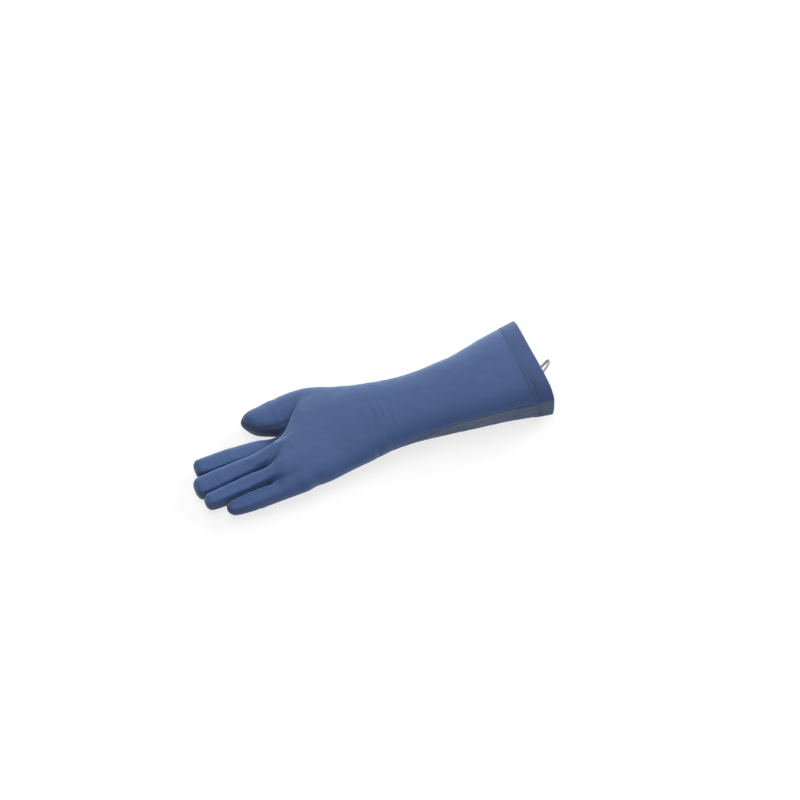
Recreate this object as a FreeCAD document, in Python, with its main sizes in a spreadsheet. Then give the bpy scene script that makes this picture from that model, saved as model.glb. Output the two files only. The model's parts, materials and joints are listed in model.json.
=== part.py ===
import FreeCAD
import Part
import math
import os

from FreeCAD import Placement, Rotation, Vector

# Insulated gauntlet glove for handling very cold things, left hand, lying palm down. Every layer is a
# solid of its own: coated shell, batting and lining. The gauntlet is the root. The hand, the thumb and
# the fingers are separate lengths of the same layers, with a soft section at each place that bends.
# The fingers point along -X, the thumb side is +Y and the back of the hand faces +Z. Millimetres.

LAYERS = {
    "shell_ply": 0.8,         # coated outer cloth
    "finger_batt": 1.9,       # batting in the digits
    "hand_batt": 3.4,         # batting in the hand and the gauntlet
    "lining_ply": 0.5,        # brushed inner knit
    "ply_gap": 0.1,           # air between two layers
    "cloth_gap": 0.35,        # room at both ends of a soft section
}

# Cross-sections are ellipses: place along X, middle in Y, half width, underside height, half height.
SECTION_KEYS = ("along", "middle", "halfwide", "under", "halftall")
SECTIONS = {
    "web": (-107, -11.6, 40.4, 4.8, 14.0),
    "knuckle": (-84, -10.0, 42.0, 2.2, 17.0),
    "palm": (-51, -7.5, 41.5, 1.0, 20.5),
    "heel": (-17, 0.0, 45.5, 1.4, 22.6),
    "wristhand": (6, 0.0, 42.8, 3.0, 24.0),
    "wristfront": (6.3, 0.0, 42.8, 3.0, 24.0),
    "wristmid": (16, -0.8, 41.4, 3.1, 24.6),
    "wristback": (25.7, -1.5, 40.5, 3.1, 25.2),
    "wristarm": (26, -1.5, 40.5, 3.1, 25.2),
    "forearm": (54, -5.2, 38.4, 3.0, 26.6),
    "flare": (105, -9.6, 42.3, 2.0, 30.0),
    "wide": (151, -9.8, 49.3, 1.0, 33.4),
    "cuff": (200, -11.6, 58.0, 0.0, 36.4),
}
HAND = ("web", "knuckle", "palm", "heel", "wristhand")
WRIST = ("wristfront", "wristmid", "wristback")
GAUNTLET = ("wristarm", "forearm", "flare", "wide", "cuff")

# Each digit: where it first bends, the way it points (sideways, then down), the further curl of its tip,
# the distance to the second bend and on to the middle of the round tip, the outer radius at its root,
# its two bends and its tip, half of each soft section, and how far the root reaches into the hand.
DIGIT_KEYS = ("along", "aside", "height", "spread", "droop", "curl", "reach", "tip",
              "root_rad", "base_rad", "mid_rad", "tip_rad", "soft", "softmid", "root")
DIGITS = {
    "thumb": (-59, 50.5, 21.0, 8.0, 3.0, 3.0, 26.0, 25.0, 5.0, 15.0, 14.3, 11.6, 8.0, 6.8, 56.0),
    "index": (-118, 18.0, 17.5, 2.5, 3.0, 4.0, 34.0, 29.2, 10.4, 10.4, 9.9, 8.6, 7.0, 6.5, 30.0),
    "middle": (-121, -3.4, 20.3, 1.0, 2.5, 5.0, 37.0, 33.3, 10.5, 10.5, 10.0, 8.7, 7.0, 6.5, 30.0),
    "ring": (-120, -24.4, 20.0, 0.0, 2.5, 5.0, 35.0, 32.4, 10.0, 10.0, 9.6, 8.4, 7.0, 6.5, 30.0),
    "little": (-118, -44.2, 18.0, 0.0, 3.0, 5.0, 27.0, 24.8, 9.3, 9.3, 8.9, 7.8, 7.0, 6.0, 30.0),
}

TRIMS = {
    "rim_slant": 6.6,         # the cuff's rim leans this much, further out on the thumb side
    "panel_seam": 21.0,       # height at which the back and palm panels meet
    "seam_gap": 0.3,          # room between two sewn panels
    "hem_lap": 20.0,          # how far the cuff's hem is turned in
    "hem_fold": 1.0,          # thickness of the folded rim
    "stitch_inset": 17.5,     # stitch row's place from the rim
    "thread": 0.8,            # width of the stitch row
    "thread_rise": 0.4,       # how far the stitch row stands on the cloth
    "label_long": 30.0,
    "label_wide": 22.0,
    "label_inset": 30.0,      # label's near edge, from the rim
    "label_ply": 0.4,
    "loop_wide": 12.0,
    "loop_band": 3.0,
    "loop_ply": 1.2,
    "loop_tail": 12.0,        # sewn-in end of the hang loop, inside the hem
    "loop_out": 8.0,          # how far the loop stands out past the rim
    "loop_top": 56.4,         # height of the loop's upper face
    "loop_aside": -28.5,      # loop's place across the cuff, from its middle
}

doc = FreeCAD.newDocument("gauntlet_glove")
sheet = doc.addObject("Spreadsheet::Sheet", "sizes")
nodes = []


def fill_sheet():
    """Writes every driving dimension as a plain number with an alias."""
    rows = dict(LAYERS)
    rows.update(TRIMS)
    for name, values in SECTIONS.items():
        rows.update({f"{name}_{key}": value for key, value in zip(SECTION_KEYS, values)})
    for name, values in DIGITS.items():
        rows.update({f"{name}_{key}": value for key, value in zip(DIGIT_KEYS, values)})
    for line, (alias, value) in enumerate(rows.items(), start=1):
        sheet.set(f"A{line}", "'" + alias)
        sheet.set(f"B{line}", str(value))
        sheet.setAlias(f"B{line}", alias)
    doc.recompute()


def size(alias):
    return float(sheet.get(alias))


def cell(alias):
    """A cell's name, the way an expression writes it."""
    return f"sizes.{alias}"


def depths(batting):
    """Each layer's outer and inner face, as depths below the glove's outer surface."""
    batt = cell(batting)
    shell_in = "sizes.shell_ply"
    batt_out = f"{shell_in} + sizes.ply_gap"
    batt_in = f"{batt_out} + {batt}"
    lining_out = f"{batt_in} + sizes.ply_gap"
    lining_in = f"{lining_out} + sizes.lining_ply"
    inside = f"{lining_in} + sizes.ply_gap"
    return {
        "shell": ("0", shell_in),
        "insulation": (batt_out, batt_in),
        "lining": (lining_out, lining_in),
        "facing": (inside, f"{inside} + sizes.shell_ply"),
        "label": (inside, f"{inside} + sizes.label_ply"),
        "stitch": ("-0.05 - sizes.thread_rise", "-0.05"),
    }


FINGER_DEPTHS = depths("finger_batt")
HAND_DEPTHS = depths("hand_batt")


def new(kind, name, **expressions):
    """A document object with its properties bound to the sheet. A double underscore stands for a dot."""
    obj = doc.addObject(kind, name)
    for prop, expression in expressions.items():
        obj.setExpression(prop.replace("__", "."), expression)
    return obj


def combine(kind, name, base, tool):
    obj = doc.addObject(kind, name)
    obj.Base = base
    obj.Tool = tool
    return obj


def fuse(name, shapes):
    obj = doc.addObject("Part::MultiFuse", name)
    obj.Shapes = shapes
    return obj


def keep(obj, label):
    """Names a finished sub-part."""
    obj.Label = label
    nodes.append(obj)
    return obj


def loft(name, sections, depth, front_wall=False):
    """A solid through the ellipses, depth below the outer surface. With front_wall the first section also
    steps back by depth, which leaves a wall across that end."""
    upright = Rotation(Vector(0, 1, 0), Vector(0, 0, 1), Vector(1, 0, 0), "XYZ")
    rings = []
    for number, section in enumerate(sections):
        step = f" + ({depth})" if front_wall and number == 0 else ""
        ring = doc.addObject("Part::Ellipse", f"{name}_{section}")
        lean = size("rim_slant") if section == "cuff" else 0
        ring.Placement = Placement(Vector(), Rotation(Vector(0, 0, 1), -lean) * upright)
        for prop, expression in {
            "MajorRadius": f"{cell(section + '_halfwide')} - ({depth})",
            "MinorRadius": f"{cell(section + '_halftall')} - ({depth})",
            "Placement.Base.x": cell(section + "_along") + step,
            "Placement.Base.y": cell(section + "_middle"),
            "Placement.Base.z": f"{cell(section + '_under')} + {cell(section + '_halftall')}",
        }.items():
            ring.setExpression(prop, expression)
        rings.append(ring)
    body = doc.addObject("Part::Loft", name)
    body.Sections = rings
    body.Solid = True
    return body


def pointing(digit, curl=0.0):
    """The direction of a digit, and a rotation that turns +Z that way."""
    spread, droop = math.radians(size(digit + "_spread")), math.radians(size(digit + "_droop") + curl)
    way = Vector(-math.cos(droop) * math.cos(spread), math.cos(droop) * math.sin(spread), -math.sin(droop))
    return way, Rotation(Vector(0, 1, 0), Vector(), way, "ZYX")


def bends(digit):
    """A digit's first and second bend."""
    first = Vector(size(digit + "_along"), size(digit + "_aside"), size(digit + "_height"))
    return first, first + pointing(digit)[0] * size(digit + "_reach")


def cone(name, digit, bend, start, end, radii, depth):
    """A round length of a digit from start to end past one of its bends. radii holds the outer radius at
    both ends, as expressions."""
    way, turn = pointing(digit, size(digit + "_curl") if bend else 0)
    obj = new("Part::Cone", name, Radius1=f"{radii[0]} - ({depth})", Radius2=f"{radii[1]} - ({depth})",
              Height=f"({end}) - ({start})")
    base = bends(digit)[bend]
    for axis in "xyz":
        here, along = getattr(base, axis), getattr(way, axis)
        obj.Placement = Placement(obj.Placement.Base, turn)
        obj.setExpression(f"Placement.Base.{axis}", f"{here} + {along} * ({start})")
    return obj


def digit_layer(digit, part, outer, inner):
    """One layer of a digit's base or tip: the solid at the outer depth less the one at the inner depth."""
    d = lambda key: cell(f"{digit}_{key}")
    solids = []
    for side, depth in (("out", outer), ("in", inner)):
        name = f"{digit}_{part}_{side}"
        if part.startswith("base"):
            solids.append(cone(name, digit, 0, d("soft"), f"{d('reach')} - {d('softmid')}",
                               (d("base_rad"), d("mid_rad")), depth))
            continue
        sleeve = cone(name + "_sleeve", digit, 1, d("softmid"), d("tip"), (d("mid_rad"), d("tip_rad")), depth)
        way = pointing(digit, size(digit + "_curl"))[0]
        ball = new("Part::Sphere", name + "_ball", Radius=f"{d('tip_rad')} - ({depth})")
        ball.Placement.Base = bends(digit)[1] + way * size(digit + "_tip")
        solids.append(fuse(name, [sleeve, ball]))
    return combine("Part::Cut", f"{digit}_{part}", solids[0], solids[1])


def soft_ring(digit, name, bend, half, radius):
    """The outer cloth across a bend: a short sleeve between the two stiff lengths it joins. Past the
    second bend it lies along the tip, so it starts later by the corner that the curl leaves."""
    corner = f"{radius} * {cell(digit + '_curl')} * pi / 180" if bend else "0"
    rings = [cone(f"{digit}_{name}_{side}", digit, bend, f"sizes.cloth_gap + {corner} - ({half})",
                  f"({half}) - sizes.cloth_gap", (radius, radius), depth)
             for side, depth in (("out", "0"), ("in", "sizes.shell_ply"))]
    return combine("Part::Cut", f"{digit}_{name}", rings[0], rings[1])


def make_digit(digit):
    for layer in ("shell", "insulation", "lining"):
        outer, inner = FINGER_DEPTHS[layer]
        for part in ("base", "tip"):
            keep(digit_layer(digit, f"{part}_{layer}", outer, inner), f"{digit}_{part}_{layer}")
    keep(soft_ring(digit, "knuckle_cloth", 0, cell(digit + "_soft"), cell(digit + "_base_rad")),
         digit + "_knuckle_cloth")
    keep(soft_ring(digit, "joint_cloth", 1, cell(digit + "_softmid"), cell(digit + "_mid_rad")),
         digit + "_joint_cloth")


def hand_solid(name, hand_depth, finger_depth):
    """The hand's outline at a depth: its own loft and the five roots that the digits continue."""
    parts = [loft(name + "_loft", HAND, hand_depth, front_wall=True)]
    for digit in DIGITS:
        d = lambda key: cell(f"{digit}_{key}")
        parts.append(cone(f"{name}_{digit}", digit, 0, f"({finger_depth}) - {d('root')}", f"-{d('soft')}",
                          (d("root_rad"), d("base_rad")), finger_depth))
    return fuse(name, parts)


def half_space(name, upper):
    """A box over everything above the panel seam, or under it."""
    box = new("Part::Box", name, Length="700", Width="300", Height="120")
    box.Placement.Base = Vector(-350, -150, 0)
    edge = "sizes.panel_seam + sizes.seam_gap / 2" if upper else "sizes.panel_seam - sizes.seam_gap / 2 - 120"
    box.setExpression("Placement.Base.z", edge)
    return box


def split_panels(prefix, solid):
    """Cuts a shell into its back panel and its palm panel, along the seam at the sides."""
    for panel, upper in (("back", True), ("palm", False)):
        part = combine("Part::Common", f"{prefix}_{panel}", solid, half_space(f"{prefix}_{panel}_side", upper))
        keep(part, f"{prefix}_{panel}_panel")


def rim_slice(name, start, end, tall="200", wide="300", low="-60", aside="-150"):
    """A box square to the rim, from start to end inside it."""
    box = new("Part::Box", name, Length=f"({end}) - ({start})", Width=wide, Height=tall)
    turn = Rotation(Vector(0, 0, 1), -size("rim_slant"))
    middle = Vector(size("cuff_along"), size("cuff_middle"), 0)
    corner = middle + turn.multVec(Vector(evaluate(start), evaluate(aside), evaluate(low)))
    box.Placement = Placement(corner, turn)
    return box


def evaluate(expression):
    return float(sheet.evalExpression(expression))


def make_hand():
    for layer in ("shell", "insulation", "lining"):
        solids = [hand_solid(f"hand_{layer}_{side}", HAND_DEPTHS[layer][k], FINGER_DEPTHS[layer][k])
                  for k, side in enumerate(("out", "in"))]
        solid = combine("Part::Cut", "hand_" + layer, solids[0], solids[1])
        if layer == "shell":
            split_panels("hand", solid)
        else:
            keep(solid, "hand_" + layer)


def tube(name, sections, layer):
    outer, inner = HAND_DEPTHS[layer]
    return combine("Part::Cut", name, loft(name + "_out", sections, outer), loft(name + "_in", sections, inner))


def make_wrist():
    for layer, label in (("shell", "wrist_cloth"), ("insulation", "wrist_insulation"), ("lining", "wrist_lining")):
        keep(tube(label, WRIST, layer), label)


def make_gauntlet():
    past_fold = "sizes.hem_fold + sizes.ply_gap"
    for layer in ("shell", "insulation", "lining"):
        whole = tube("gauntlet_whole_" + layer, GAUNTLET, layer)
        cut = rim_slice("gauntlet_end_" + layer, f"-({past_fold})", "20")
        solid = combine("Part::Cut", "gauntlet_" + layer, whole, cut)
        if layer == "shell":
            split_panels("gauntlet", solid)
        else:
            keep(solid, "gauntlet_" + layer)
    facing = rim_slice("facing_place", "-sizes.hem_lap", f"-({past_fold})")
    keep(combine("Part::Common", "facing", tube("facing_whole", GAUNTLET, "facing"), facing), "hem_facing")
    fold = combine("Part::Cut", "fold_whole", loft("fold_out", GAUNTLET, "0"),
                   loft("fold_in", GAUNTLET, HAND_DEPTHS["facing"][1]))
    keep(combine("Part::Common", "fold", fold, rim_slice("fold_place", "-sizes.hem_fold", "20")), "hem_rim")
    row = rim_slice("stitch_place", "-sizes.stitch_inset - sizes.thread", "-sizes.stitch_inset")
    keep(combine("Part::Common", "stitches", tube("stitch_whole", GAUNTLET, "stitch"), row), "hem_stitching")
    patch = rim_slice("label_place", "-sizes.label_inset - sizes.label_long", "-sizes.label_inset",
                      wide="sizes.label_wide", low="40", aside="-sizes.label_wide / 2")
    keep(combine("Part::Common", "size_label", tube("label_whole", GAUNTLET, "label"), patch), "size_label")


def make_loop():
    """A flat tape loop, sewn inside the cuff on the back of the glove."""
    turn = Rotation(Vector(0, 0, 1), -size("rim_slant"))
    middle = Vector(size("cuff_along"), size("cuff_middle"), size("loop_top") - size("loop_ply"))
    middle += turn.multVec(Vector(0, size("loop_aside"), 0))
    solids = []
    for side, inset in (("out", "0"), ("in", "sizes.loop_band")):
        half = f"sizes.loop_wide / 2 - {inset}"
        straight = new("Part::Box", f"loop_{side}_straight", Width=f"2 * ({half})", Height="sizes.loop_ply",
                       Length=f"sizes.loop_tail + sizes.loop_out - sizes.loop_wide / 2 - {inset}")
        start = Vector(evaluate(f"{inset} - sizes.loop_tail"), -evaluate(half), 0)
        straight.Placement = Placement(middle + turn.multVec(start), turn)
        bend = new("Part::Cylinder", f"loop_{side}_bend", Radius=half, Height="sizes.loop_ply")
        centre = Vector(evaluate("sizes.loop_out - sizes.loop_wide / 2"), 0, 0)
        bend.Placement = Placement(middle + turn.multVec(centre), turn)
        solids.append(fuse("loop_" + side, [straight, bend]))
    keep(combine("Part::Cut", "loop", solids[0], solids[1]), "hang_loop")


fill_sheet()
make_gauntlet()
make_loop()
make_wrist()
make_hand()
for digit_name in DIGITS:
    make_digit(digit_name)
doc.recompute()

# The glove stands on z = 0, with the middle of its box over the origin.
whole_box = FreeCAD.BoundBox()
for node in nodes:
    whole_box.add(node.Shape.optimalBoundingBox(False, False))
shift = Vector(-whole_box.Center.x, -whole_box.Center.y, -whole_box.ZMin)
for node in nodes:
    node.Placement = Placement(node.Placement.Base + shift, node.Placement.Rotation)
doc.recompute()

faults = [obj.Label for obj in doc.Objects if {"Invalid", "Error"} & set(obj.State)]
faults += [node.Label for node in nodes if node.Shape.isNull() or not node.Shape.isValid()]
if faults:
    raise RuntimeError(f"these failed: {faults}")
os.makedirs("parts", exist_ok=True)
for node in nodes:
    node.Shape.exportStep(f"parts/{node.Label}.step")
print(len(nodes), "pieces, box", whole_box, "moved by", shift)
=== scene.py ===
import json
import math

import bmesh
import bpy
import numpy as np
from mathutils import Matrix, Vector, noise


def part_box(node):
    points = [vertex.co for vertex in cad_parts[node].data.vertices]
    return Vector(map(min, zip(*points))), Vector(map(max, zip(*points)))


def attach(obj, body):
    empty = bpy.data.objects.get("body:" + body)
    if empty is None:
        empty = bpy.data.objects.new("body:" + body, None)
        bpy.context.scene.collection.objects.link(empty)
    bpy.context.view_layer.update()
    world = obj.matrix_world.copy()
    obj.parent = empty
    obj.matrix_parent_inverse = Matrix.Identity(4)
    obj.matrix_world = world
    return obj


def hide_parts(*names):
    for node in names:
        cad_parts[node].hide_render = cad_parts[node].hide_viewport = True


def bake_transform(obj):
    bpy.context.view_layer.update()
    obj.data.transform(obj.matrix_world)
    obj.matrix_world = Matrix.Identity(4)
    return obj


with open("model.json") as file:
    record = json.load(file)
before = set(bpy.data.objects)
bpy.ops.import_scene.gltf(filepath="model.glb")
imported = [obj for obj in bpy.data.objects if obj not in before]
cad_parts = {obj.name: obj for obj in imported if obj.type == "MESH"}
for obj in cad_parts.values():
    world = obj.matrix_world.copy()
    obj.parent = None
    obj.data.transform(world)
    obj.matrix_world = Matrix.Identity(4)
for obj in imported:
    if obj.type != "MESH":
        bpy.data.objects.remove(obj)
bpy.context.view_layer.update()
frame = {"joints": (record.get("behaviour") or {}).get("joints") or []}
MM = 0.001

# An insulated gauntlet glove, left hand, palm down. Its outer surface is one closed shape, worked out as
# the zero level of a field in millimetres, then cut into pieces named after the bodies. Distances
# along the glove are counted from the tip of the middle finger, which is at TIP_X in the frame.
TIP_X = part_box("middle_tip_shell")[0].x / MM
JOINTS = {j["name"]: np.array(j["pos_m"]) / MM for j in frame["joints"]}


def curve(*points):
    """A smooth curve through (x, value, value...) rows, as a function of an array of x."""
    table = np.array(points, float)
    xs, ys = table[:, 0], table[:, 1:]
    slope = np.zeros_like(ys)
    step = np.diff(xs)[:, None]
    rise = np.diff(ys, axis=0) / step
    slope[1:-1] = (rise[:-1] * step[1:] + rise[1:] * step[:-1]) / (step[1:] + step[:-1])
    slope[0], slope[-1] = rise[0], rise[-1]

    def value(x):
        x = np.clip(x, xs[0], xs[-1])
        i = np.clip(np.searchsorted(xs, x) - 1, 0, len(xs) - 2)
        width = (xs[i + 1] - xs[i])
        t = ((x - xs[i]) / width)[:, None]
        width = width[:, None]
        return (ys[i] * (1 + 2 * t) * (1 - t) ** 2 + slope[i] * width * t * (1 - t) ** 2
                + ys[i + 1] * t * t * (3 - 2 * t) + slope[i + 1] * width * t * t * (t - 1)).T
    return value


def smooth_min(a, b, k):
    h = np.clip(0.5 + 0.5 * (b - a) / k, 0, 1)
    return b * (1 - h) + a * h - k * h * (1 - h)


# Rows: distance from the fingertip, middle y, middle z, half width, half height, squareness.
BODY = curve(
    (78, -23.5, 23, 28, 13.6, 2.6), (94, -19.6, 24.6, 30.2, 17.4, 2.7),
    (110, -16.4, 25, 35, 19.8, 2.7), (125, -9, 24.8, 43.2, 21.4, 2.6),
    (140, 0.8, 24.4, 52.8, 22.8, 2.5), (152, 6.6, 24.4, 57.5, 23.2, 2.3),
    (183, 4.8, 26.3, 52.2, 24.3, 2.3), (215, 0, 29.1, 44.2, 25.9, 2.3),
    (257, -5.4, 31.2, 39.6, 28, 2.4), (310, -10, 33.8, 44.1, 31.7, 2.5),
    (358, -10.2, 36.5, 51.4, 35.4, 2.6), (400, -11.9, 38.1, 59.6, 38, 2.7),
    (425, -12.6, 38.6, 63, 38.6, 2.7))
BODY_TIP = (78, 20)
BODY_ROOT = 600       # beyond the cuff, so that the body stays open-ended
DIGITS = {
    "thumb": curve((77, 60.2, 16, 9, 9.6, 2.1), (86, 57.2, 16.2, 13.6, 12.4, 2.2),
                   (97, 54.6, 16.4, 17.2, 14.2, 2.3), (111, 53.4, 17.4, 19.6, 15.6, 2.4),
                   (125, 53.2, 18.8, 20.2, 16.8, 2.4), (141, 53.4, 20.5, 19.2, 17.6, 2.4),
                   (156, 50.5, 21.5, 19.5, 19, 2.2), (180, 38, 23, 20, 19.5, 2.1),
                   (204, 26, 25, 18, 18, 2.1)),
    "index": curve((9, 22.5, 12.6, 10.4, 9.6, 3.2), (20, 20.8, 13.7, 11.2, 10.4, 3.1),
                   (42, 19.6, 15.4, 11.8, 11, 3.0), (65, 17.6, 15.6, 12.2, 11.4, 2.8),
                   (84, 17, 15, 12.4, 11.2, 2.5), (98, 16.5, 11.5, 12.6, 9, 2.4), (120, 17, 9, 14, 7, 2.3)),
    "middle": curve((0, -2.2, 13.8, 11.2, 9.8, 3.0), (13.5, -3.2, 15, 12.6, 11, 3.0),
                    (33, -3.8, 18.2, 12.6, 11.6, 2.9), (56, -4.8, 21.8, 12, 12, 2.8),
                    (70, -5.2, 24.6, 11.4, 12.6, 2.6), (84, -2.4, 27.4, 11, 13.4, 2.4),
                    (100, 5, 29.6, 11, 13.8, 2.3), (124, 21, 31, 12, 13, 2.3)),
    "ring": curve((4, -23.6, 15.4, 8.8, 8, 2.9), (17.6, -24.6, 16.4, 10.2, 9.2, 2.9),
                  (37, -24.8, 18.8, 11, 10.4, 2.9), (60, -25.4, 22.2, 11.6, 11.4, 2.8),
                  (80, -25.6, 25, 11.6, 13, 2.5), (118, -24, 29, 12, 13, 2.3)),
    "little": curve((23, -40, 14.4, 6.8, 6.6, 2.7), (36, -41, 15.6, 8.8, 8.2, 2.8),
                    (48, -42, 17.2, 9.6, 9.2, 2.8), (74, -44.2, 21.6, 10.2, 10.6, 2.6),
                    (110, -43, 25, 12, 12.4, 2.3)),
}
# Each digit's tip, as its place and the length over which it rounds off, and how far its root reaches.
TIPS = {"thumb": (77, 15), "index": (9, 8), "middle": (0, 9), "ring": (4, 9), "little": (23, 9)}
ROOTS = {"thumb": 196, "index": 116, "middle": 116, "ring": 116, "little": 108}
# Where two fingers lie against each other: rows of distance from the fingertip and y.
BETWEEN = {
    ("index", "middle"): curve((0, 10.5), (15, 9.4), (40, 8.4), (65, 6.4), (90, 5), (115, 3)),
    ("middle", "ring"): curve((0, -15.4), (25, -15.6), (55, -15.4), (85, -15.8), (115, -16)),
    ("ring", "little"): curve((0, -31.5), (36, -33), (60, -34), (85, -35), (115, -35.5)),
}
FINGERS = ("index", "middle", "ring", "little")
GAP = 0.75            # from each finger to that line, over the fingers' ends
ROOT_GAP = 1.0        # how much that grows towards their roots
ROOT_FADE = 12        # the length over which a tube ends beyond its root


def along_tube(p, middle, tip, root):
    """Roughly the distance outside a tube with a round tip. tip is (its place, its length)."""
    x = p[:, 0] - TIP_X
    y0, z0, a, b, n = middle(x)
    dy, dz = p[:, 1] - y0, p[:, 2] - z0
    start, length = tip
    over = np.maximum(0, start + length - x) / length + np.maximum(0, x - root) / ROOT_FADE
    gauge = ((np.abs(dy) / a) ** n + (np.abs(dz) / b) ** n + over ** n) ** (1 / n)
    reach = np.sqrt(dy ** 2 + dz ** 2 + (over * length) ** 2)
    return reach * (1 - 1 / np.maximum(gauge, 1e-3))


def blob(p, centre, radii):
    """Roughly the distance outside an ellipsoid."""
    d = (p - np.array(centre) - [TIP_X, 0, 0]) / np.array(radii)
    gauge = np.sqrt((d ** 2).sum(1))
    return (gauge - 1) * min(radii)


def capsule(p, start, end, radius):
    """The distance outside a rod with round ends."""
    start, along = np.array(start) + [TIP_X, 0, 0], np.array(end, float) - start
    t = np.clip((p - start) @ along / (along @ along), 0, 1)
    return np.linalg.norm(p - start - t[:, None] * along, axis=1) - radius


def digit_field(p, name):
    """One digit. The fingers are flat where they lie side by side, with a small gap between them."""
    f = along_tube(p, DIGITS[name], TIPS[name], ROOTS[name])
    x = p[:, 0] - TIP_X
    gap = GAP + ROOT_GAP * np.clip((x - 50) / 25, 0, 1)
    edge = 2.5
    for (far, near), line in BETWEEN.items():
        if name == far:
            f = -smooth_min(-f, p[:, 1] - line(x)[0] - gap, edge)
        if name == near:
            f = -smooth_min(-f, line(x)[0] - gap - p[:, 1], edge)
    return f


# The crease along the little-finger side, where the back panel folds over to the palm panel: y and z.
CREASE = curve((215, -54, 24), (245, -46, 27), (280, -47.6, 36), (300, -51.4, 40.4),
               (318, -54.6, 42.2), (335, -57.2, 43.4), (357, -61.2, 44.2), (371, -64.2, 45.2),
               (400, -69.4, 46.4), (425, -73, 47))
CREASE_NORMAL = (0.97, 0.24)      # y and z of the way inwards from the flat side that ends there

# The web between the thumb and the index finger: a centre and radii. The soft swelling that runs from it
# along the index finger's root: its two ends and its radius.
WEB = ((136, 38, 13.5), (25, 19, 11))
WEB_FOLD = ((126, 27, 13), (92, 21.5, 17))
FOLD_RADIUS = 3.8


# How widely the parts of the surface run into each other.
SOFTNESS = {"crease": 1.2, "fingers": 7, "index": 2.5, "fold": 3, "web": 9, "thumb": 4}


def outer_field(p):
    """Below zero inside the glove, zero on its plain outer surface and above zero outside."""
    f = along_tube(p, BODY, BODY_TIP, BODY_ROOT)
    y, z = CREASE(p[:, 0] - TIP_X)
    side = (y - p[:, 1]) * CREASE_NORMAL[0] + (z - p[:, 2]) * CREASE_NORMAL[1]
    f = -smooth_min(-f, -side, SOFTNESS["crease"])
    fingers = np.minimum.reduce([digit_field(p, d) for d in FINGERS[1:]])
    f = smooth_min(f, fingers, SOFTNESS["fingers"])
    f = smooth_min(f, digit_field(p, "index"), SOFTNESS["index"])
    f = smooth_min(f, capsule(p, *WEB_FOLD, FOLD_RADIUS), SOFTNESS["fold"])
    thumb = smooth_min(blob(p, *WEB), digit_field(p, "thumb"), SOFTNESS["web"])
    return smooth_min(f, thumb, SOFTNESS["thumb"])


def gradient(field, p, h=0.05):
    """The field's slope at each point, along x, y and z."""
    g = np.empty_like(p)
    for axis in range(3):
        d = np.zeros(3)
        d[axis] = h
        g[:, axis] = (field(p + d) - field(p - d)) / (2 * h)
    return g


def settle(field, p, rounds=6, cap=2.5):
    """Moves points onto the field's zero level."""
    for _ in range(rounds):
        g = gradient(field, p)
        step = field(p) / np.maximum((g ** 2).sum(1), 1e-4)
        move = -step[:, None] * g
        size = np.linalg.norm(move, axis=1, keepdims=True)
        p = p + move * np.minimum(1, cap / np.maximum(size, 1e-9))
    return p


def ring_faces(count, around):
    """The faces of a tube of count rings with around points each, closed at both ends."""
    faces = []
    for i in range(count - 1):
        for j in range(around):
            low, high = i * around, (i + 1) * around
            after = (j + 1) % around
            faces.append((low + j, low + after, high + after, high + j))
    return faces + [tuple(range(around))[::-1], tuple(range((count - 1) * around, count * around))]


def tube_rings(middle, start, end, tip, shrink, flat, count=40, around=32):
    """Vertices and faces of a plain closed tube, narrower by shrink and lower by flat."""
    xs = np.linspace(start, end, count)
    y0, z0, a, b, n = middle(xs)
    turn = np.linspace(0, 2 * math.pi, around, endpoint=False)
    verts = []
    for i, x in enumerate(xs):
        k = math.sqrt(max(0.04, 1 - max(0, (tip[0] + tip[1] - x) / tip[1]) ** 2))
        for t in turn:
            c, s = math.cos(t), math.sin(t)
            r = (abs(c) ** n[i] + abs(s) ** n[i]) ** (-1 / n[i]) * k
            verts.append((x + TIP_X, y0[i] + (a[i] - shrink) * r * c, z0[i] + (b[i] - flat) * r * s))
    return verts, ring_faces(count, around)


def ball(centre, radii, shrink, count=20, around=28):
    """Vertices and faces of an ellipsoid, smaller all round by shrink."""
    verts = []
    cap = 0.08        # the angle at which its two small end faces lie
    for a in np.linspace(cap, math.pi - cap, count):
        for t in np.arange(around) * 2 * math.pi / around:
            verts.append((centre[0] + TIP_X - (radii[0] - shrink) * math.cos(a),
                          centre[1] + (radii[1] - shrink) * math.sin(a) * math.cos(t),
                          centre[2] + (radii[2] - shrink) * math.sin(a) * math.sin(t)))
    return verts, ring_faces(count, around)


def rod(start, end, radius, count=24, around=12):
    """Vertices and faces of a round rod with domed ends."""
    start, end = Vector(start) + Vector((TIP_X, 0, 0)), Vector(end) + Vector((TIP_X, 0, 0))
    ahead = (end - start).normalized()
    side = ahead.cross(Vector((0, 0, 1))).normalized()
    up = side.cross(ahead)
    verts = []
    for t in np.linspace(-0.95, 0.95, count):
        place = (start + end) / 2 + ahead * t * ((end - start).length / 2 + radius)
        wide = radius * math.sqrt(max(0.05, 1 - max(0, (abs(t) - 0.8) / 0.2) ** 2))
        verts += [tuple(place + (side * math.cos(q) + up * math.sin(q)) * wide)
                  for q in np.arange(around) * 2 * math.pi / around]
    return verts, ring_faces(count, around)


def relaxed(field, p, quads, rounds=4):
    """Evens out the mesh's points, keeping them on the field's zero level."""
    corners = np.array(quads)
    pairs = np.r_[corners[:, [0, 1]], corners[:, [1, 2]], corners[:, [2, 3]], corners[:, [3, 0]]]
    pairs = np.r_[pairs, pairs[:, ::-1]]
    number = np.bincount(pairs[:, 0], minlength=len(p))[:, None]
    for _ in range(rounds):
        total = np.stack([np.bincount(pairs[:, 0], p[pairs[:, 1], k], len(p)) for k in range(3)], axis=1)
        p = settle(field, p + 0.6 * (total / number - p), 1, 1.0)
    return settle(field, p, 1, 1.0)


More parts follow.
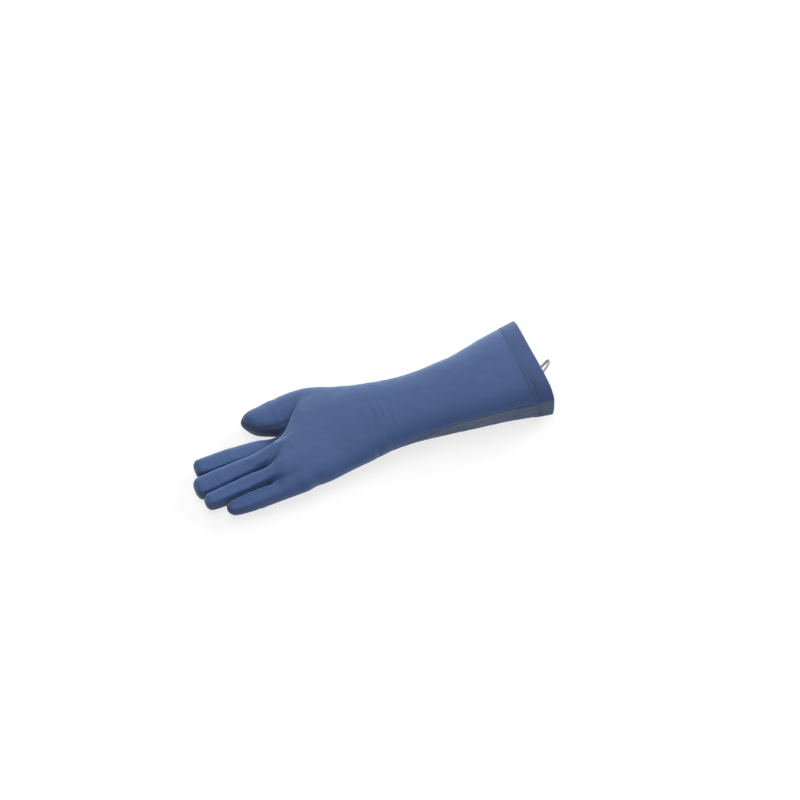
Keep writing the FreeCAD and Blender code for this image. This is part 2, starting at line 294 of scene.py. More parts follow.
def apart(verts, name, clear=1.7):
    """A rough finger's vertices kept clear of the lines where it lies against the next ones."""
    verts = np.array(verts)
    for (far, near), line in BETWEEN.items():
        edge = line(verts[:, 0] - TIP_X)[0]
        if name == far:
            verts[:, 1] = np.maximum(verts[:, 1], edge + clear)
        if name == near:
            verts[:, 1] = np.minimum(verts[:, 1], edge - clear)
    return [tuple(v) for v in verts]


ROUGH = 1             # how much thinner than the surface the rough tubes are
ROUGH_FINGER = 2.8    # and the fingers' tubes, in width, so that the remesh keeps them apart


def remeshed(voxel, inset=0.0):
    """All the tubes joined into one closed mesh by a voxel remesh, roughly where the surface goes."""
    verts, faces = [], []
    parts = [tube_rings(BODY, 79 + inset, 424, BODY_TIP, ROUGH + inset, ROUGH + inset)]
    for name, middle in DIGITS.items():
        shrink = ROUGH if name == "thumb" else ROUGH_FINGER
        v, f = tube_rings(middle, TIPS[name][0] + 0.3 + inset, ROOTS[name], TIPS[name], shrink + inset,
                          ROUGH + inset)
        parts.append((apart(v, name), f))
    parts.append(ball(*WEB, ROUGH + inset))
    if not inset:
        parts.append(rod(*WEB_FOLD, FOLD_RADIUS - 0.8))
    for v, f in parts:
        faces += [tuple(k + len(verts) for k in face) for face in f]
        verts += v
    mesh = bpy.data.meshes.new("rough")
    mesh.from_pydata(verts, [], faces)
    obj = bpy.data.objects.new("rough", mesh)
    bpy.context.scene.collection.objects.link(obj)
    remesh = obj.modifiers.new("voxels", "REMESH")
    remesh.mode = "VOXEL"
    remesh.voxel_size = voxel
    graph = bpy.context.evaluated_depsgraph_get()
    done = bpy.data.meshes.new_from_object(obj.evaluated_get(graph))
    bpy.data.objects.remove(obj)
    bpy.data.meshes.remove(mesh)
    co = np.empty(len(done.vertices) * 3)
    done.vertices.foreach_get("co", co)
    quads = [tuple(f.vertices) for f in done.polygons]
    bpy.data.meshes.remove(done)
    return co.reshape(-1, 3), quads


# ---------------------------------------------------------------- the outer cloth

RIM = (407.6, 0.07, -0.17)        # where the rim is at y = z = 0, and how that changes with y and z
RIM_BOW = 2.0
WRIST = 203.5         # the border between the gauntlet's pieces and the hand's
LOWEST = 0.05         # no piece comes nearer to the table than this
SEAM_DEPTH = 0.5
SEAM_WIDTH = 0.9
CLOTH = 0.8           # thickness of the coated cloth
KNITTED = 0.7         # and of the lining
HAND_PAD = 5.2        # from the outer surface to the lining, in the hand and the cuff
DIGIT_PAD = 3.4       # and in the digits


def rim_x(y, z):
    """The cuff's rim: how far along the glove it is at that y and z. Its upper edge bows in a little."""
    bow = np.clip(1 - ((y + 12) / 50) ** 2, 0, 1) * np.clip((z - 40) / 20, 0, 1)
    return RIM[0] + RIM[1] * y + RIM[2] * z - RIM_BOW * bow


def seam_height(p):
    """The height of the seam between the back panel and the palm panel, on the side where a point is."""
    x = p[:, 0] - TIP_X
    near = np.where(x > 215, CREASE(x)[1], 22 + 2 * np.clip((x - 180) / 35, 0, 1))
    far = BODY(x)[1] + 1
    return np.where(p[:, 1] < BODY(x)[0], near, far)


def groove(distance, width):
    """1 along a line, falling smoothly to 0 on both sides of it."""
    return np.exp(-(distance / width) ** 2)


def noise_at(p, scale, seed):
    """Smooth noise at each point, about -1 to 1."""
    shift = Vector((seed, seed * 1.7, seed * 0.6))
    return np.array([noise.noise(Vector(v) * scale + shift) for v in p])


def near_path(p, path):
    """How far points are, seen from above, from a path of (x, y) points, and how far along it, 0 to 1."""
    flat = np.c_[p[:, 0] - TIP_X, p[:, 1]]
    best, place = np.full(len(p), 1e9), np.zeros(len(p))
    for i, (start, end) in enumerate(zip(path, path[1:])):
        start, along = np.array(start, float), np.subtract(end, start)
        t = np.clip((flat - start) @ along / (along @ along), 0, 1)
        gap = np.linalg.norm(flat - start - t[:, None] * along, axis=1)
        place = np.where(gap < best, (i + t) / (len(path) - 1), place)
        best = np.minimum(gap, best)
    return best, place


# Soft valleys and ridges on the back of the hand: a path of (x, y), height at its start and end, width.
FOLDS = [
    (((62, -15.2), (73, -15.4), (82.6, -14.8), (90, -11.6), (95, -6.5), (102, 3.4), (108, 10)),
     -2.6, -0.2, 3.4),
    (((66, -34.6), (80, -35.8), (90, -38.6), (101, -40.2), (113, -41)), -2.2, -0.1, 3.2),
    (((60, -4.5), (76, -4), (86, -0.5), (97, 6.5), (110, 16)), 1.2, 0.3, 4.5),
    (((74, -26), (90, -26), (108, -24)), 0.8, 0.1, 6),
]
WRINKLE = 0.5         # how deep the cloth wrinkles across the digits, where they bend
WRIST_WRINKLE = 0.6   # and across the wrist
SIDE_SEAM = 0.55      # how high the seams along a digit's sides lie, as a share of its half height
SIDE_SEAM_WIDTH = 1.1


def add_details(p):
    """Moves points along the surface's normal: seams, soft folds, wrinkles at the bends, unevenness."""
    g = gradient(outer_field, p)
    g /= np.linalg.norm(g, axis=1, keepdims=True)
    x = p[:, 0] - TIP_X
    upper = np.clip(g[:, 2] * 1.6, 0, 1)
    rise = np.zeros(len(p))
    body = (x > 150) & (np.abs(g[:, 0]) < 0.8)
    rise -= np.where(body, SEAM_DEPTH * groove(p[:, 2] - seam_height(p), SEAM_WIDTH), 0)
    own = {name: digit_field(p, name) < 0.8 for name in DIGITS}
    for name in DIGITS:
        middle_z, half_height = DIGITS[name](x)[[1, 3]]
        fade = np.clip((ROOTS[name] - 26 - x) / 20, 0, 1)
        deeper = 0.5 + 0.5 * np.clip((TIPS[name][0] + 14 - x) / 8, 0, 1)
        for side in (-1, 1):
            seam = (p[:, 2] - middle_z) - side * SIDE_SEAM * half_height
            rise -= np.where(own[name], deeper * fade * groove(seam, SIDE_SEAM_WIDTH), 0)
    for path, first, last, width in FOLDS:
        gap, place = near_path(p, path)
        ends = np.clip(place * 8, 0, 1) * np.clip((1 - place) * 5, 0, 1)
        rise += (first + (last - first) * place) * groove(gap, width) * upper * ends * (p[:, 2] > 15)
    ripples = noise_at(p * [2.6, 0.7, 0.7], 0.06, 2.0)
    for name in DIGITS:
        bend = JOINTS[name + "_joint"][0] - TIP_X
        rise += np.where(own[name], WRINKLE * ripples * groove(x - bend, 11), 0)
    rise += WRIST_WRINKLE * ripples * groove(x - 205, 22)
    rise += 0.8 * noise_at(p, 0.022, 3.0) * np.clip((x - 60) / 60, 0.3, 1)
    rise += 0.3 * noise_at(p, 0.05, 5.0) + 0.22 * noise_at(p, 0.11, 9.0)
    # Nothing rises where a finger lies against the next one.
    for (far, near), line in BETWEEN.items():
        beside = (own[far] | own[near]) & (x < 90)
        room = np.clip((np.abs(p[:, 1] - line(x)[0]) - GAP) / 3, 0, 1)
        rise = np.where(beside & (rise > 0), rise * room, rise)
    moved = p + g * rise[:, None]
    moved[:, 2] = np.maximum(moved[:, 2], LOWEST + 0.25)
    return moved


def lining_field(p):
    """Zero at the outside of the lining: the padding under the outer field, thinner in the digits."""
    pad = DIGIT_PAD + (HAND_PAD - DIGIT_PAD) * np.clip((p[:, 0] - TIP_X - 75) / 35, 0, 1)
    return outer_field(p) + pad


def cut_at_rim(points, quads, inset):
    """The mesh cut off square, that far inside the rim, as points, normals and faces."""
    mesh = bpy.data.meshes.new("whole")
    mesh.from_pydata([tuple(v) for v in points], [], quads)
    shape = bmesh.new()
    shape.from_mesh(mesh)
    bpy.data.meshes.remove(mesh)
    everything = shape.verts[:] + shape.edges[:] + shape.faces[:]
    bmesh.ops.bisect_plane(shape, geom=everything, clear_outer=True,
                           plane_co=(RIM[0] - inset + TIP_X, 0, 0), plane_no=(1, -RIM[1], -RIM[2]))
    shape.normal_update()
    shape.verts.index_update()
    points = np.array([v.co for v in shape.verts])
    normals = np.array([v.normal for v in shape.verts])
    faces = [[v.index for v in f.verts] for f in shape.faces]
    shape.free()
    return points, normals, faces


# Where each finger's cloth ends and the hand's begins. The thumb's ends at a line seen from above: a point
# on it and the way to the thumb.
BORDERS = {"index": 74.5, "middle": 74.5, "ring": 77, "little": 78.5}
THUMB_LINE = (np.array([114.0, 33.0]), np.array([-0.8, 0.6]))
THUMB_BENDS = ((1.2, 12.6), (13.6, 27))        # from where to where, beyond that line, its two bends reach
TIP_BORDER = 9        # a finger's tip piece starts this far behind its middle joint


def thumb_side(p):
    """How far a point is on the thumb's side of the line where its cloth starts to bend."""
    return (np.c_[p[:, 0] - TIP_X, p[:, 1]] - THUMB_LINE[0]) @ THUMB_LINE[1]


def piece_names(p):
    """The piece that each point of the outer cloth belongs to."""
    x = p[:, 0] - TIP_X
    seam = np.where(p[:, 2] > seam_height(p), "back", "palm")
    names = np.where(x > WRIST, np.char.add("gauntlet_", seam), np.char.add("hand_", seam)).astype("U24")
    own = np.array([digit_field(p, d) for d in DIGITS])
    nearest = own.argmin(0)
    for k, digit in enumerate(DIGITS):
        if digit == "thumb":
            others = np.minimum.reduce([along_tube(p, BODY, BODY_TIP, BODY_ROOT), *own[1:],
                                        capsule(p, *WEB_FOLD, FOLD_RADIUS)])
            mine = (thumb_side(p) > 0) & (np.minimum(own[0], blob(p, *WEB)) < others)
            tip = thumb_side(p) > THUMB_BENDS[1][0] - 0.5
        else:
            mine = (nearest == k) & (x < BORDERS[digit])
            tip = x < JOINTS[digit + "_joint"][0] - TIP_X + TIP_BORDER
        names[mine] = digit + "_base"
        names[mine & tip] = digit + "_tip"
    return names


def new_piece(name, points, faces, material):
    """A smooth-shaded mesh object from points in millimetres, kept above the table."""
    mesh = bpy.data.meshes.new(name)
    points = np.array(points, float)
    points[:, 2] = np.maximum(points[:, 2], LOWEST)
    mesh.from_pydata([tuple(v) for v in points * MM], [], faces)
    mesh.polygons.foreach_set("use_smooth", [True] * len(mesh.polygons))
    mesh.materials.append(material)
    obj = bpy.data.objects.new(name, mesh)
    bpy.context.scene.collection.objects.link(obj)
    return obj


def ridges(points, normals, faces):
    """How sharply the surface bends outwards at each point: -1 in a tight fold, 1 on a sharp edge."""
    flat = np.concatenate([np.array(f) for f in faces])
    after = np.concatenate([np.roll(f, -1) for f in faces])
    pairs = np.r_[np.c_[flat, after], np.c_[after, flat]]
    number = np.bincount(pairs[:, 0], minlength=len(points))

    def neighbours(values):
        return np.bincount(pairs[:, 0], values[pairs[:, 1]], len(points)) / number
    middle = np.stack([neighbours(points[:, k]) for k in range(3)], axis=1)
    length = np.linalg.norm(points[pairs[:, 1]] - points[pairs[:, 0]], axis=1)
    size = np.bincount(pairs[:, 0], length ** 2, len(points)) / number
    bend = -((middle - points) * normals).sum(1) / size
    for _ in range(3):
        bend = 0.5 * bend + 0.5 * neighbours(bend)
    return np.clip(bend / 0.12, -1, 1)


def palm_side(p):
    """A mask for painted shade: 1 on the palm side of the side seam, which faces the table, and 0 on the
    back.
    The change is sharp on the gauntlet and gradual on the hand, and it lies lower down on the fingers than
    on the thumb."""
    hand = np.clip((190 + TIP_X - p[:, 0]) / 40, 0, 1)
    lower = 4 * hand * np.clip((36 - p[:, 1]) / 6, 0, 1)
    sharp, gradual = 1.2, 8.0
    width = sharp + (gradual - sharp) * hand
    return np.clip(0.5 + (seam_height(p) - lower - p[:, 2]) / width, 0, 1)


def give(obj, word, values):
    """Stores a number for each point, which the material reads."""
    obj.data.attributes.new(word, "FLOAT", "POINT").data.foreach_set("value", values)


def cloth_piece(name, points, normals, bends, faces, thickness, material):
    """A closed piece of cloth: its outer faces, the same faces inside, and walls round its edges.
    Its normals are the whole surface's, so the next piece goes on without a break."""
    used = np.unique(np.concatenate([np.array(f) for f in faces]))
    renumber = {int(v): i for i, v in enumerate(used)}
    outer = [[renumber[v] for v in f] for f in faces]
    count = len(used)
    inner = [[v + count for v in reversed(f)] for f in outer]
    edges = dict.fromkeys((v, w) for f in outer for v, w in zip(f, f[1:] + f[:1]))
    walls = [[w, v, v + count, w + count] for v, w in edges if (w, v) not in edges]
    top, out = points[used], normals[used]
    obj = new_piece(name, np.r_[top, top - out * thickness], outer + inner + walls, material)
    loops = [out[v] for f in outer for v in f] + [-out[v - count] for f in inner for v in f]
    for v, w, _, _ in walls:
        wall = np.cross(top[w] - top[v], -out[v])
        loops += [wall / max(np.linalg.norm(wall), 1e-9)] * 4
    obj.data.normals_split_custom_set([tuple(n) for n in loops])
    # Stores where the palm side takes its painted shade.
    give(obj, "palm_side", np.tile(palm_side(top), 2))
    # Stores the bends, which the material turns into edge wear and painted shade in folds.
    give(obj, "edge_wear_fold_shade", np.tile(bends[used], 2))
    return obj


def cut_into_pieces(points, normals, faces, thickness, material, names_of, prefix):
    """One closed piece of cloth for each name that names_of gives the faces."""
    counts = np.array([len(f) for f in faces])
    flat = np.concatenate([np.array(f) for f in faces])
    starts = np.concatenate([[0], np.cumsum(counts)[:-1]])
    centres = np.add.reduceat(points[flat], starts, axis=0) / counts[:, None]
    kinds = names_of(centres)
    # The bends feed the cloth's colour: lighter wear on sharp edges and painted shade in folds.
    bends = ridges(points, normals, faces)
    pieces = {}
    for kind in sorted(set(kinds)):
        own = [faces[i] for i in np.nonzero(kinds == kind)[0]]
        pieces[str(kind)] = cloth_piece(prefix + kind, points, normals, bends, own, thickness, material)
    return pieces


def bend_piece(obj, kind):
    """Attaches a hand piece to the hand's body; every other piece only has its place baked into its mesh."""
    part, _, where = kind.partition("_")
    if part == "gauntlet":
        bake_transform(obj)
    elif part == "hand":
        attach(obj, "hand")
    elif part == "thumb":
        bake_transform(obj)
    elif where == "tip":
        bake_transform(obj)
    else:
        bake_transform(obj)


# ---------------------------------------------------------------- materials

def nodes_of(name):
    """A new material, its node tree and its shader."""
    m = bpy.data.materials.new(name)
    m.use_nodes = True
    tree = m.node_tree
    return m, tree, tree.nodes["Principled BSDF"]


def join(tree, *links):
    """Links pairs of sockets."""
    for source, target in links:
        tree.links.new(source, target)


def node(tree, kind, **settings):
    """A new node. A setting is the default of the input of that name, or else a property of the node."""
    n = tree.nodes.new(kind)
    for key, value in settings.items():
        if key in n.inputs:
            n.inputs[key].default_value = value
        else:
            setattr(n, key, value)
    return n


def cloth(name, dark, light, rough, sheen, threads, relief, tint=(1, 1, 1), fuzz=0.0, palm=None):
    """A woven or knitted cloth: two mixed tones, threads in relief, and a soft sheen. With palm, the palm
    side is painted in that darker tone as painted shade, folds are painted darker as painted shade, and the
    cloth is worn lighter along its edges."""
    m, tree, shader = nodes_of(name)
    place = node(tree, "ShaderNodeTexCoord")
    broad = node(tree, "ShaderNodeTexNoise", Scale=14.0, Detail=3.0, Roughness=0.55)
    fine = node(tree, "ShaderNodeTexNoise", Scale=700.0, Detail=2.0, Roughness=0.6)
    blend = node(tree, "ShaderNodeMath", operation="MULTIPLY_ADD")
    blend.inputs[1].default_value = 0.4
    spread = node(tree, "ShaderNodeMapRange")
    spread.inputs["From Min"].default_value = 0.45
    spread.inputs["From Max"].default_value = 0.95
    tones = node(tree, "ShaderNodeMix", data_type="RGBA")
    tones.inputs["A"].default_value = (*dark, 1)
    tones.inputs["B"].default_value = (*light, 1)
    join(tree, (place.outputs["Object"], broad.inputs["Vector"]),
         (place.outputs["Object"], fine.inputs["Vector"]), (fine.outputs["Fac"], blend.inputs[0]),
         (broad.outputs["Fac"], blend.inputs[2]), (blend.outputs[0], spread.inputs["Value"]),
         (spread.outputs["Result"], tones.inputs["Factor"]))
    colour = tones.outputs["Result"]
    if palm:
        # Painted shade: the palm side, which faces the table, is mixed towards the darker palm tone.
        side = node(tree, "ShaderNodeAttribute", attribute_name="palm_side")
        edge = node(tree, "ShaderNodeAttribute", attribute_name="edge_wear_fold_shade")
        panel = node(tree, "ShaderNodeMix", data_type="RGBA")
        panel.inputs["B"].default_value = (*palm, 1)
        # Edge wear and painted shade: sharp edges are worn lighter, up to 1.4 times the colour, and folds
        # are painted darker, down to 0.55 times.
        wear_and_fold_shade = node(tree, "ShaderNodeMapRange")
        for socket, value in (("From Min", -1), ("From Max", 1), ("To Min", 0.55), ("To Max", 1.4)):
            wear_and_fold_shade.inputs[socket].default_value = value
        shaded = node(tree, "ShaderNodeVectorMath", operation="SCALE")
        join(tree, (side.outputs["Fac"], panel.inputs["Factor"]), (colour, panel.inputs["A"]),
             (edge.outputs["Fac"], wear_and_fold_shade.inputs["Value"]), (panel.outputs["Result"], shaded.inputs[0]),
             (wear_and_fold_shade.outputs["Result"], shaded.inputs["Scale"]))
        colour = shaded.outputs[0]
    join(tree, (colour, shader.inputs["Base Color"]))
    height = None
    for axis in ("X", "Y", "Z"):
        wave = node(tree, "ShaderNodeTexWave", wave_type="BANDS", bands_direction=axis, Scale=threads,
                    Distortion=0.8, Detail=1.0)
        wave.inputs["Detail Scale"].default_value = 2.0
        total = node(tree, "ShaderNodeMath", operation="ADD")
        join(tree, (place.outputs["Object"], wave.inputs["Vector"]), (wave.outputs["Fac"], total.inputs[0]))
        if height:
            join(tree, (height, total.inputs[1]))
        height = total.outputs[0]
    rough_threads = node(tree, "ShaderNodeMath", operation="MULTIPLY_ADD")
    rough_threads.inputs[1].default_value = 0.8 + fuzz
    bump = node(tree, "ShaderNodeBump", Strength=relief, Distance=0.0003)
    gloss = node(tree, "ShaderNodeMapRange")
    gloss.inputs["To Min"].default_value = rough - 0.08
    gloss.inputs["To Max"].default_value = min(1, rough + 0.08)
    join(tree, (fine.outputs["Fac"], rough_threads.inputs[0]), (height, rough_threads.inputs[2]),
         (rough_threads.outputs[0], bump.inputs["Height"]),
         (bump.outputs["Normal"], shader.inputs["Normal"]),
         (broad.outputs["Fac"], gloss.inputs["Value"]),
         (gloss.outputs["Result"], shader.inputs["Roughness"]))
    shader.inputs["Specular IOR Level"].default_value = 0.25
    shader.inputs["Sheen Weight"].default_value = sheen
    shader.inputs["Sheen Roughness"].default_value = 0.4
    shader.inputs["Sheen Tint"].default_value = (*tint, 1)
    return m


BLUE_SHEEN = (0.45, 0.68, 1.0)
# The palm tones are painted shade: the glove's lower side, which faces the table, is coloured darker.
SHELL = cloth("coated_cloth", (0.0122, 0.0305, 0.089), (0.0172, 0.040, 0.113), 0.62, 0.42, 520, 0.14,
              BLUE_SHEEN, palm=(0.0125, 0.0195, 0.049))
HEM = cloth("hem_cloth", (0.0122, 0.0285, 0.082), (0.0165, 0.036, 0.1), 0.66, 0.35, 520, 0.16,
            BLUE_SHEEN, palm=(0.0135, 0.0185, 0.046))
KNIT = cloth("knit_lining", (0.42, 0.45, 0.48), (0.62, 0.64, 0.66), 0.9, 0.4, 160, 0.6, fuzz=1.2)
TAPE = cloth("loop_tape", (0.20, 0.21, 0.235), (0.28, 0.29, 0.31), 0.8, 0.2, 420, 0.4)
LABEL = cloth("label_weave", (0.60, 0.60, 0.58), (0.72, 0.72, 0.70), 0.6, 0.2, 480, 0.25)
THREAD = cloth("thread", (0.011, 0.024, 0.072), (0.017, 0.034, 0.1), 0.6, 0.2, 900, 0.3)

# ---------------------------------------------------------------- cutting the outer cloth into pieces

SKIN_VOXEL, LINING_VOXEL = 1.3, 1.8
SKIN_INSET, LINING_INSET = 9, 19  # how far inside the rim the outer cloth and the lining end, under the hem

rough_points, rough_faces = remeshed(SKIN_VOXEL)
points = add_details(relaxed(outer_field, settle(outer_field, rough_points), rough_faces))
whole = cut_at_rim(points, rough_faces, SKIN_INSET)
skins = cut_into_pieces(*whole, CLOTH, SHELL, piece_names, "cloth_")
for kind, skin in skins.items():
    bend_piece(skin, kind)
    part, _, where = kind.partition("_")
    if part == "gauntlet":
        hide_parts(f"gauntlet_{where}_panel", "wrist_cloth", "gauntlet_insulation",
                    "wrist_insulation")
    elif part == "hand":
        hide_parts(f"hand_{where}_panel", "hand_insulation")
    else:
        soft = "knuckle_cloth" if where == "base" else "joint_cloth"
        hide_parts(f"{kind}_shell", f"{kind}_insulation", f"{part}_{soft}")


def lining_names(p):
    """As piece_names, but the lining has no side seam."""
    return np.char.replace(np.char.replace(piece_names(p), "_back", "_lining"), "_palm", "_lining")


rough_points, rough_faces = remeshed(LINING_VOXEL, DIGIT_PAD)
points = relaxed(lining_field, settle(lining_field, rough_points, 8), rough_faces)
whole = cut_at_rim(points, rough_faces, LINING_INSET)
knits = cut_into_pieces(*whole, KNITTED, KNIT, lining_names, "knit_")
for kind, knit in knits.items():
    part, _, where = kind.partition("_")
    bend_piece(knit, kind)
    if part == "gauntlet":
        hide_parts("gauntlet_lining", "wrist_lining")
    else:
        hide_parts("hand_lining" if part == "hand" else f"{kind}_lining")

# ---------------------------------------------------------------- hem, stitches, label and loop

def cuff_points(u, turn):
    """Points on the cuff's outer surface, u in from the rim, at angles round it, with their normals."""
    u, turn = np.broadcast_arrays(np.asarray(u, float), np.asarray(turn, float))
    shape, u, turn = u.shape, u.ravel(), turn.ravel()
    y, z = np.zeros(len(u)), np.full(len(u), 38.0)
    for _ in range(6):
        x = rim_x(y, z) - u
        y0, z0, a, b, n = BODY(x)
        c, s = np.cos(turn), np.sin(turn)
        r = (np.abs(c) ** n + np.abs(s) ** n) ** (-1 / n)
        y, z = y0 + a * r * c, z0 + b * r * s
    p = settle(outer_field, np.c_[x + TIP_X, y, z], 4)
    g = gradient(outer_field, p)
    g[:, 0] *= 0.2
    g /= np.linalg.norm(g, axis=1, keepdims=True)
    return p.reshape(*shape, 3), g.reshape(*shape, 3)


# The folded hem's section: how far in from the rim, and how deep under the outer surface.
STITCH_LINE = 18.2
HEM_PROFILE = [(21.6, 0.5), (21.4, 0.15), (21, -0.1), (20.4, -0.2), (18.8, -0.2), (STITCH_LINE, -0.05),
               (17.6, -0.2), (10, -0.22), (3, -0.25), (1.0, -0.2), (0.25, 0.05), (-0.15, 0.6), (-0.35, 2.0),
               (-0.35, 4.2), (-0.1, 5.6), (0.6, 6.4), (2, 6.7), (6, 6.8), (12, 6.8), (18.8, 6.8), (20, 6.6),
               (20.3, 6.1), (20, 5.8), (12, 5.8), (3, 5.7), (1.4, 4.9), (0.9, 3.0), (1.4, 1.2), (3, 0.5),
               (12, 0.4)]
THICKER = 0.45        # how much prouder the hem stands on the little finger's side, where its ends are sewn
HEM_AROUND = 220      # points round the hem


def hem_band():
    """The folded hem: its section carried round the cuff."""
    turn = np.linspace(0, 2 * math.pi, HEM_AROUND, endpoint=False)
    rows = []
    for u, depth in HEM_PROFILE:
        p, g = cuff_points(np.full(HEM_AROUND, u), turn)
        sewn = np.clip((-42 - p[:, 1]) / 14, 0, 1)
        if depth <= 0.15:
            depth = depth - THICKER * sewn * (1 if u != STITCH_LINE else -0.6)
        rows.append(p - g * np.reshape(depth, (-1, 1)))
    faces = []
    for i in range(len(rows)):
        low, high = i * HEM_AROUND, (i + 1) % len(rows) * HEM_AROUND
        for j in range(HEM_AROUND):
            after = (j + 1) % HEM_AROUND
            faces.append((high + j, high + after, low + after, low + j))
    rows = np.concatenate(rows)
    band = new_piece("hem_band", rows, faces, HEM)
    # Painted shade: the hem's palm side takes the darker palm tone.
    give(band, "palm_side", palm_side(rows))
    # The hem gets no edge wear and no painted fold shade.
    give(band, "edge_wear_fold_shade", np.zeros(len(rows)))
    return band


hem = hem_band()
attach(hem, "gauntlet")
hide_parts("hem_facing", "hem_rim")


def beads(name, centres, ways, ups, length, width, height, mat):
    """A row of short stitches: each a small rounded bar that dips in at both ends."""
    sections = ((-0.5, 0.25), (-0.34, 0.8), (-0.12, 1), (0.12, 1), (0.34, 0.8), (0.5, 0.25))
    sides = 6
    verts, faces = [], []
    for c, w, n in zip(centres, ways, ups):
        side = np.cross(n, w)
        start = len(verts)
        for t, k in sections:
            lift = (k - 0.75) * height
            for q in range(sides):
                q = q * math.pi / 3
                verts.append(c + w * t * length + side * math.cos(q) * width / 2 * k
                             + n * (math.sin(q) * height / 2 * k + lift))
        faces += [tuple(start + v for v in f) for f in ring_faces(len(sections), sides)]
    return new_piece(name, verts, faces, mat)


def hem_stitches(pitch=3.4, length=2.5, width=0.65, height=0.45, samples=900):
    """The stitch row round the hem, evenly spaced along the stitch line."""
    turn = np.linspace(0, 2 * math.pi, samples, endpoint=False)
    line, up = cuff_points(np.full(samples, STITCH_LINE), turn)
    ahead = np.roll(line, -1, axis=0)
    run = np.concatenate([[0], np.cumsum(np.linalg.norm(ahead - line, axis=1))])
    number = int(run[-1] / pitch)
    marks = np.searchsorted(run, (np.arange(number) + 0.5) * run[-1] / number) % samples
    ways = ahead[marks] - line[marks]
    ways /= np.linalg.norm(ways, axis=1, keepdims=True)
    centres = line[marks] + up[marks] * 0.2
    return beads("hem_stitches", centres, ways, up[marks], length, width, height, THREAD)


stitches = hem_stitches()
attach(stitches, "gauntlet")
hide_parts("hem_stitching")


def ribbon(name, path, across, width, thickness, mat, steps=48):
    """A closed flat tape along a smooth path of (x, y, z) points; across is the way its width lies."""
    path = np.array(path, float)
    route = curve(*np.c_[np.linspace(0, 1, len(path)), path])
    centre = route(np.linspace(0, 1, steps)).T + [TIP_X, 0, 0]
    ahead = np.gradient(centre, axis=0)
    ahead /= np.linalg.norm(ahead, axis=1, keepdims=True)
    side = np.array(across, float) - ahead * (ahead @ np.array(across, float))[:, None]
    side /= np.linalg.norm(side, axis=1, keepdims=True)
    up = np.cross(ahead, side)
    corners = [(-0.5, -0.3), (-0.46, -0.5), (-0.2, -0.42), (0.2, -0.42), (0.46, -0.5), (0.5, -0.3),
               (0.5, 0.3), (0.46, 0.5), (0.2, 0.42), (-0.2, 0.42), (-0.46, 0.5), (-0.5, 0.3)]
    verts = [centre[i] + side[i] * w * width + up[i] * t * thickness
             for i in range(steps) for w, t in corners]
    return new_piece(name, verts, ring_faces(steps, len(corners)), mat)


# The hanging loop's route: x from the fingertip, y and z.
LOOP_PATH = [(372, -46.6, 63.8), (382, -45.4, 65), (390, -43.6, 67), (396, -41.2, 70),
             (400.5, -38.6, 73.4), (402.6, -36.4, 75), (401.6, -35, 74.4), (397, -35.4, 70.8),
             (390, -37, 67.2), (382, -38.6, 65.4), (372, -40, 64.4)]
LOOP_WIDTH = 3.6
LOOP_THICKNESS = 0.7
loop = ribbon("loop_tape", LOOP_PATH, (-0.5, 0.25, 0.85), LOOP_WIDTH, LOOP_THICKNESS, TAPE)
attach(loop, "gauntlet")
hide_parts("hang_loop")


def label_piece(rows=16, columns=22):
    """A woven size label, blank, sewn flat on the lining with its free edge curling a little."""
    along = np.linspace(26, 52, rows)
    turn = np.linspace(math.radians(72), math.radians(98), columns)
    p, g = cuff_points(*np.meshgrid(along, turn, indexing="ij"))
    p = p - g * (HAND_PAD + 0.9)
    lift = 0.35 + 1.3 * np.linspace(0, 1, rows)[:, None] ** 3 * np.linspace(0.4, 1, columns)[None, :]
    top = p - g * lift[..., None]
    low = p - g * (lift[..., None] - 0.3)
    size = rows * columns
    grid = np.arange(size).reshape(rows, columns)
    faces = []
    for i in range(rows - 1):
        for j in range(columns - 1):
            quad = (grid[i, j], grid[i, j + 1], grid[i + 1, j + 1], grid[i + 1, j])
            faces += [quad, tuple(v + size for v in quad[::-1])]
    edge = [*grid[0, :], *grid[1:, -1], *grid[-1, -2::-1], *grid[-2:0:-1, 0]]
    for v, w in zip(edge, edge[1:] + edge[:1]):
        faces.append((w, v, v + size, w + size))
    faces = [tuple(int(v) for v in f) for f in faces]
    return new_piece("label_tag", np.r_[top.reshape(-1, 3), low.reshape(-1, 3)], faces, LABEL)


label = label_piece()
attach(label, "gauntlet")
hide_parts("size_label")

# ---------------------------------------------------------------- floor, camera and light

# A white table that mostly glows by itself, so that shadows on it stay faint.
GLOW = 0.88
GLOW_SHARE = 0.825
TABLE = 4.0           # half its width, in metres

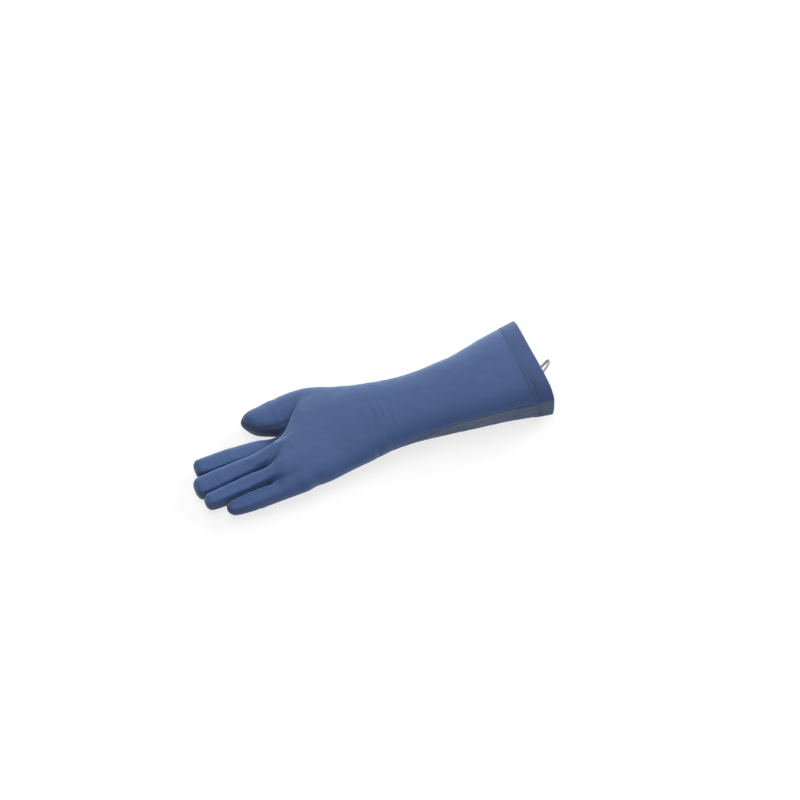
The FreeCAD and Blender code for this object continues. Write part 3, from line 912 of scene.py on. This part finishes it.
floor_mesh = bpy.data.meshes.new("floor")
floor_mesh.from_pydata([(-TABLE, -TABLE, 0), (TABLE, -TABLE, 0), (TABLE, TABLE, 0), (-TABLE, TABLE, 0)], [],
                       [(0, 1, 2, 3)])
floor = bpy.data.objects.new("floor", floor_mesh)
bpy.context.scene.collection.objects.link(floor)
table, table_tree, table_shader = nodes_of("table")
table_shader.inputs["Base Color"].default_value = (0.8, 0.8, 0.8, 1)
table_shader.inputs["Roughness"].default_value = 0.8
table_shader.inputs["Specular IOR Level"].default_value = 0.1
glow = node(table_tree, "ShaderNodeEmission", Strength=GLOW)
lit = node(table_tree, "ShaderNodeMixShader", Fac=GLOW_SHARE)
join(table_tree, (table_shader.outputs[0], lit.inputs[1]), (glow.outputs[0], lit.inputs[2]),
     (lit.outputs[0], table_tree.nodes["Material Output"].inputs["Surface"]))
floor.data.materials.append(table)

camera_data = bpy.data.cameras.new("camera")
camera = bpy.data.objects.new("camera", camera_data)
bpy.context.scene.collection.objects.link(camera)
bpy.context.scene.camera = camera
azimuth, elevation = math.radians(-23.644), math.radians(52)
distance = 1.69
back = Vector((math.sin(azimuth) * math.cos(elevation), -math.cos(azimuth) * math.cos(elevation),
               math.sin(elevation)))
target = Vector(((TIP_X + 191.3) * MM, 0, 0.0212))
camera.location = target + back * distance
camera.rotation_euler = back.to_track_quat("Z", "Y").to_euler()
camera_data.lens = 69.41
camera_data.shift_x = 0.0524
camera_data.shift_y = 0.0354
camera_data.clip_end = 50


def area(name, place, size, power, colour=(1, 1, 1), aim=(0, 0, 0.03)):
    """A round soft light, turned towards the glove."""
    data = bpy.data.lights.new(name, "AREA")
    data.shape = "DISK"
    data.size = size
    data.energy = power
    data.color = colour
    light = bpy.data.objects.new(name, data)
    bpy.context.scene.collection.objects.link(light)
    light.location = place
    light.rotation_euler = (Vector(place) - Vector(aim)).to_track_quat("Z", "Y").to_euler()


SKY = 0.5
area("top", (-0.3, -0.1, 2.2), 1.6, 37)
area("front", (-0.5, -1.6, 1.6), 1.4, 28, colour=(1, 0.96, 0.9))
area("back", (0.2, 2.4, 0.9), 1.6, 42, colour=(0.9, 0.98, 1))
area("right", (2.2, 0.3, 1.2), 1.4, 84)
area("high", (0, 1.3, 2.0), 1.6, 8)
world = bpy.data.worlds.new("world")
bpy.context.scene.world = world
world.use_nodes = True
world.node_tree.nodes["Background"].inputs["Color"].default_value = (1, 1, 1, 1)
world.node_tree.nodes["Background"].inputs["Strength"].default_value = SKY
bpy.context.scene.view_settings.view_transform = "Standard"
